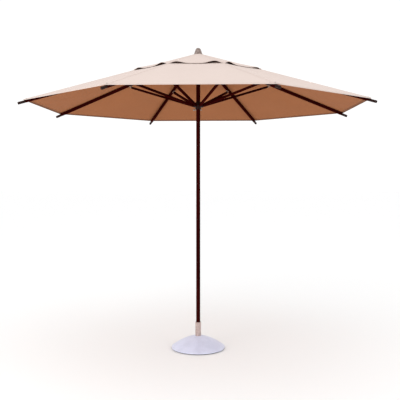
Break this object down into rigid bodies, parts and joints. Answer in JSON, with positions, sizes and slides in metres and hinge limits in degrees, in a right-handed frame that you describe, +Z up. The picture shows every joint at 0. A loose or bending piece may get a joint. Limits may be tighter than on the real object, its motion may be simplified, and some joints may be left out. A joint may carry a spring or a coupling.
{
  "type": "market umbrella with base",
  "caption": "Octagonal market umbrella with wooden ribs and pole, vented cloth canopy, push-up runner with pull-out pin, and a round dome base with sleeve.",
  "frame": {"origin": "middle of the flat underside of the base, on the floor", "axes": "+Z up along the pole; -Y is the front; the clamp knob is at the back (+Y); the lock pin lies along X with its head at -X; rib_1 stands 22.5 degrees from +X"},
  "size_m": [2.8622, 2.8622, 2.662],
  "materials": {
    "mahogany": "dark mahogany stain, satin lacquer",
    "black_plastic": "dark brown-black moulded plastic",
    "steel": "zinc-plated",
    "cloth": "pale beige woven polyester, tan in transmitted light",
    "finial_resin": "grey-brown cast resin, fluted",
    "stone_resin": "beige stone-look resin, mottled",
    "base_resin": "pale lavender-grey cast resin, satin",
    "concrete": "rough cast ballast"
  },
  "bodies": {
    "base": {"base_shell": "base_resin", "base_ballast": "concrete", "base_sleeve": "stone_resin"},
    "knob": {"clamp_knob": "black_plastic"},
    "bush": {"sleeve_bush": "black_plastic"},
    "pole": {"pole": "mahogany", "crown_hub": "black_plastic", "crown_ring": "steel", "finial": "finial_resin"},
    "lock_pin": {"lock_pin": "steel"},
    "rib_1": {"rib_1": "mahogany", "rib_end_cap_1": "black_plastic", "rib_bracket_1": "steel", "canopy_gore_1": "cloth", "vent_gore_1": "cloth"},
    "strut_1": {"strut_1": "mahogany"},
    "rib_2": {"rib_2": "mahogany", "rib_end_cap_2": "black_plastic", "rib_bracket_2": "steel", "canopy_gore_2": "cloth", "vent_gore_2": "cloth"},
    "strut_2": {"strut_2": "mahogany"},
    "rib_3": {"rib_3": "mahogany", "rib_end_cap_3": "black_plastic", "rib_bracket_3": "steel", "canopy_gore_3": "cloth", "vent_gore_3": "cloth"},
    "strut_3": {"strut_3": "mahogany"},
    "rib_4": {"rib_4": "mahogany", "rib_end_cap_4": "black_plastic", "rib_bracket_4": "steel", "canopy_gore_4": "cloth", "vent_gore_4": "cloth"},
    "strut_4": {"strut_4": "mahogany"},
    "rib_5": {"rib_5": "mahogany", "rib_end_cap_5": "black_plastic", "rib_bracket_5": "steel", "canopy_gore_5": "cloth", "vent_gore_5": "cloth"},
    "strut_5": {"strut_5": "mahogany"},
    "rib_6": {"rib_6": "mahogany", "rib_end_cap_6": "black_plastic", "rib_bracket_6": "steel", "canopy_gore_6": "cloth", "vent_gore_6": "cloth"},
    "strut_6": {"strut_6": "mahogany"},
    "rib_7": {"rib_7": "mahogany", "rib_end_cap_7": "black_plastic", "rib_bracket_7": "steel", "canopy_gore_7": "cloth", "vent_gore_7": "cloth"},
    "strut_7": {"strut_7": "mahogany"},
    "rib_8": {"rib_8": "mahogany", "rib_end_cap_8": "black_plastic", "rib_bracket_8": "steel", "canopy_gore_8": "cloth", "vent_gore_8": "cloth"},
    "strut_8": {"strut_8": "mahogany"},
    "runner": {"runner": "black_plastic", "runner_ring": "steel"}
  },
  "joints": [
    {"name": "knob_turn", "type": "hinge", "parent": "base", "child": "knob", "pos_m": [0, 0.04, 0.185], "axis": [0, 1, 0], "continuous": true},
    {"name": "umbrella_turn", "type": "hinge", "parent": "base", "child": "bush", "pos_m": [0, 0, 0.2], "axis": [0, 0, 1], "continuous": true},
    {"name": "umbrella_lift", "type": "slide", "parent": "bush", "child": "pole", "axis": [0, 0, 1], "range_m": [0, 0.2]},
    {"name": "pin_pull", "type": "slide", "parent": "pole", "child": "lock_pin", "axis": [-1, 0, 0], "range_m": [0, 0.075]},
    {"name": "canopy_fold", "type": "hinge", "parent": "pole", "child": "rib_1", "pos_m": [0.03326, 0.01378, 2.558], "axis": [-0.3827, 0.9239, 0], "range_deg": [0, 71], "deforming": ["canopy_gore_1", "vent_gore_1"]},
    {"name": "rib_2_hinge", "type": "hinge", "parent": "pole", "child": "rib_2", "pos_m": [0.01378, 0.03326, 2.558], "axis": [-0.9239, 0.3827, 0], "range_deg": [0, 71], "deforming": ["canopy_gore_2", "vent_gore_2"]},
    {"name": "rib_3_hinge", "type": "hinge", "parent": "pole", "child": "rib_3", "pos_m": [-0.01378, 0.03326, 2.558], "axis": [-0.9239, -0.3827, 0], "range_deg": [0, 71], "deforming": ["canopy_gore_3", "vent_gore_3"]},
    {"name": "rib_4_hinge", "type": "hinge", "parent": "pole", "child": "rib_4", "pos_m": [-0.03326, 0.01378, 2.558], "axis": [-0.3827, -0.9239, 0], "range_deg": [0, 71], "deforming": ["canopy_gore_4", "vent_gore_4"]},
    {"name": "rib_5_hinge", "type": "hinge", "parent": "pole", "child": "rib_5", "pos_m": [-0.03326, -0.01378, 2.558], "axis": [0.3827, -0.9239, 0], "range_deg": [0, 71], "deforming": ["canopy_gore_5", "vent_gore_5"]},
    {"name": "rib_6_hinge", "type": "hinge", "parent": "pole", "child": "rib_6", "pos_m": [-0.01378, -0.03326, 2.558], "axis": [0.9239, -0.3827, 0], "range_deg": [0, 71], "deforming": ["canopy_gore_6", "vent_gore_6"]},
    {"name": "rib_7_hinge", "type": "hinge", "parent": "pole", "child": "rib_7", "pos_m": [0.01378, -0.03326, 2.558], "axis": [0.9239, 0.3827, 0], "range_deg": [0, 71], "deforming": ["canopy_gore_7", "vent_gore_7"]},
    {"name": "rib_8_hinge", "type": "hinge", "parent": "pole", "child": "rib_8", "pos_m": [0.03326, -0.01378, 2.558], "axis": [0.3827, 0.9239, 0], "range_deg": [0, 71], "deforming": ["canopy_gore_8", "vent_gore_8"]},
    {"name": "strut_1_hinge", "type": "hinge", "parent": "rib_1", "child": "strut_1", "pos_m": [0.63832, 0.2644, 2.35151], "axis": [-0.3827, 0.9239, 0], "range_deg": [-142, 0]},
    {"name": "strut_2_hinge", "type": "hinge", "parent": "rib_2", "child": "strut_2", "pos_m": [0.2644, 0.63832, 2.35151], "axis": [-0.9239, 0.3827, 0], "range_deg": [-142, 0]},
    {"name": "strut_3_hinge", "type": "hinge", "parent": "rib_3", "child": "strut_3", "pos_m": [-0.2644, 0.63832, 2.35151], "axis": [-0.9239, -0.3827, 0], "range_deg": [-142, 0]},
    {"name": "strut_4_hinge", "type": "hinge", "parent": "rib_4", "child": "strut_4", "pos_m": [-0.63832, 0.2644, 2.35151], "axis": [-0.3827, -0.9239, 0], "range_deg": [-142, 0]},
    {"name": "strut_5_hinge", "type": "hinge", "parent": "rib_5", "child": "strut_5", "pos_m": [-0.63832, -0.2644, 2.35151], "axis": [0.3827, -0.9239, 0], "range_deg": [-142, 0]},
    {"name": "strut_6_hinge", "type": "hinge", "parent": "rib_6", "child": "strut_6", "pos_m": [-0.2644, -0.63832, 2.35151], "axis": [0.9239, -0.3827, 0], "range_deg": [-142, 0]},
    {"name": "strut_7_hinge", "type": "hinge", "parent": "rib_7", "child": "strut_7", "pos_m": [0.2644, -0.63832, 2.35151], "axis": [0.9239, 0.3827, 0], "range_deg": [-142, 0]},
    {"name": "strut_8_hinge", "type": "hinge", "parent": "rib_8", "child": "strut_8", "pos_m": [0.63832, -0.2644, 2.35151], "axis": [0.3827, 0.9239, 0], "range_deg": [-142, 0]},
    {"name": "runner_travel", "type": "hinge", "parent": "strut_1", "child": "runner", "pos_m": [0.03326, 0.01378, 2.14501], "axis": [-0.3827, 0.9239, 0], "range_deg": [0, 71]}
  ],
  "couplings": [
    {"joint": "rib_2_hinge", "follows": "canopy_fold", "ratio": 1},
    {"joint": "rib_3_hinge", "follows": "canopy_fold", "ratio": 1},
    {"joint": "rib_4_hinge", "follows": "canopy_fold", "ratio": 1},
    {"joint": "rib_5_hinge", "follows": "canopy_fold", "ratio": 1},
    {"joint": "rib_6_hinge", "follows": "canopy_fold", "ratio": 1},
    {"joint": "rib_7_hinge", "follows": "canopy_fold", "ratio": 1},
    {"joint": "rib_8_hinge", "follows": "canopy_fold", "ratio": 1},
    {"joint": "strut_1_hinge", "follows": "canopy_fold", "ratio": -2},
    {"joint": "strut_2_hinge", "follows": "canopy_fold", "ratio": -2},
    {"joint": "strut_3_hinge", "follows": "canopy_fold", "ratio": -2},
    {"joint": "strut_4_hinge", "follows": "canopy_fold", "ratio": -2},
    {"joint": "strut_5_hinge", "follows": "canopy_fold", "ratio": -2},
    {"joint": "strut_6_hinge", "follows": "canopy_fold", "ratio": -2},
    {"joint": "strut_7_hinge", "follows": "canopy_fold", "ratio": -2},
    {"joint": "strut_8_hinge", "follows": "canopy_fold", "ratio": -2},
    {"joint": "runner_travel", "follows": "canopy_fold", "ratio": 1}
  ]
}
